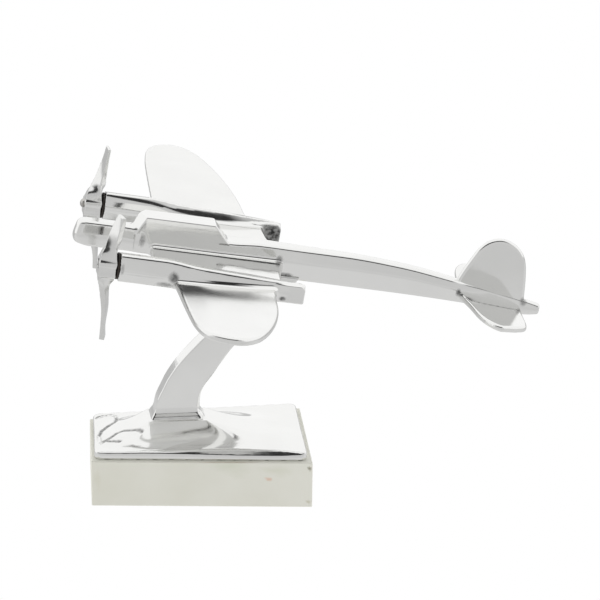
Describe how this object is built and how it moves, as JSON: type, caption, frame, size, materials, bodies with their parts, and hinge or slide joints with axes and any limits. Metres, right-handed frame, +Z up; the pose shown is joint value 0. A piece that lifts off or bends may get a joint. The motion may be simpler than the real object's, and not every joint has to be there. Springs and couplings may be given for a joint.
{
  "type": "propeller plane desk model",
  "caption": "Desk model of a twin-propeller aeroplane in polished cast aluminium, banked nose-up on a curved arm over a capped block.",
  "frame": {"origin": "on the table, under the middle of the block", "axes": "+X towards the tail, +Y to the aircraft's starboard side (the nose points to -X, turned 2.6 degrees), +Z up"},
  "size_m": [0.3007, 0.3782, 0.2111],
  "materials": {
    "polished_cast": "mirror polished casting",
    "block_paint": "matt champagne silver paint over wood",
    "felt": "felt",
    "dark_washer": "dark fibre",
    "screw_steel": "bright zinc",
    "sleeve_brass": "turned",
    "hidden_steel": "plain"
  },
  "bodies": {
    "airframe_and_stand": {"base_cap": "polished_cast", "stand_arm": "polished_cast", "fuselage": "polished_cast", "center_wing": "polished_cast", "left_nacelle": "polished_cast", "right_nacelle": "polished_cast", "left_wing": "polished_cast", "right_wing": "polished_cast", "fin": "polished_cast", "left_stabilizer": "polished_cast", "right_stabilizer": "polished_cast", "base_block": "block_paint", "felt_pad": "felt", "left_prop_washer": "dark_washer", "right_prop_washer": "dark_washer", "left_prop_screw": "screw_steel", "right_prop_screw": "screw_steel", "left_prop_sleeve": "sleeve_brass", "right_prop_sleeve": "sleeve_brass", "arm_bolt": "hidden_steel", "bolt_washer": "hidden_steel", "base_screws": "hidden_steel", "arm_studs": "hidden_steel", "left_wing_pins": "hidden_steel", "right_wing_pins": "hidden_steel", "fin_pins": "hidden_steel", "tail_pin": "hidden_steel"},
    "left_prop": {"left_propeller": "polished_cast"},
    "right_prop": {"right_propeller": "polished_cast"}
  },
  "joints": [
    {"name": "left_propeller_spin", "type": "hinge", "parent": "airframe_and_stand", "child": "left_prop", "pos_m": [-0.05969, -0.06419, 0.17321], "axis": [0.9857, 0.0448, -0.1626], "continuous": true},
    {"name": "right_propeller_spin", "type": "hinge", "parent": "airframe_and_stand", "child": "right_prop", "pos_m": [-0.06503, 0.05349, 0.17321], "axis": [0.9857, 0.0448, -0.1626], "continuous": true}
  ]
}
